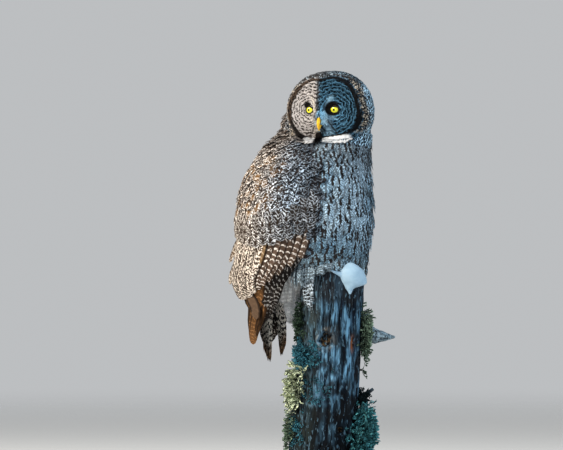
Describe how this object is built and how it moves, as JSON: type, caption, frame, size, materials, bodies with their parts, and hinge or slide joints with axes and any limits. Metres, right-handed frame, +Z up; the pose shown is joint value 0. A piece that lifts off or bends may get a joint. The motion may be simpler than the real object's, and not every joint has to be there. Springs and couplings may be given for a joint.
{
  "type": "great grey owl on a perch",
  "caption": "Life-size great grey owl with folded wings and head turned to its right, gripping a cut length of dead trunk on a flat stand.",
  "frame": {"origin": "centre of the display stand's underside, which lies on the floor", "axes": "+Z up, -Y the way the owl's breast faces, +X the owl's left; the head is turned to -X"},
  "size_m": [0.33, 0.3859, 0.895],
  "materials": {
    "plumage": "soft matte feather",
    "flight_feathers": "satin feather vane",
    "eye": "wet gloss",
    "bill": "satin horn",
    "claw": "satin horn",
    "bark": "weathered dead wood",
    "snow": "matte snow",
    "stand": "satin lacquer"
  },
  "bodies": {
    "root": {"head": "plumage", "neck": "plumage", "torso": "plumage", "undertail_coverts": "plumage", "leg_left": "plumage", "leg_right": "plumage", "foot_left": "plumage", "foot_right": "plumage", "wing_left": "flight_feathers", "wing_right": "flight_feathers", "tail": "flight_feathers", "eye_left": "eye", "eye_right": "eye", "bill_upper": "bill", "bill_lower": "bill", "claw_left_1": "claw", "claw_left_2": "claw", "claw_left_3": "claw", "claw_left_4": "claw", "claw_right_1": "claw", "claw_right_2": "claw", "claw_right_3": "claw", "claw_right_4": "claw", "perch_trunk": "bark", "perch_stub": "bark", "perch_twig": "bark", "perch_snow": "snow", "stand_base": "stand", "stand_rod_left": "stand", "stand_rod_right": "stand"}
  },
  "joints": []
}
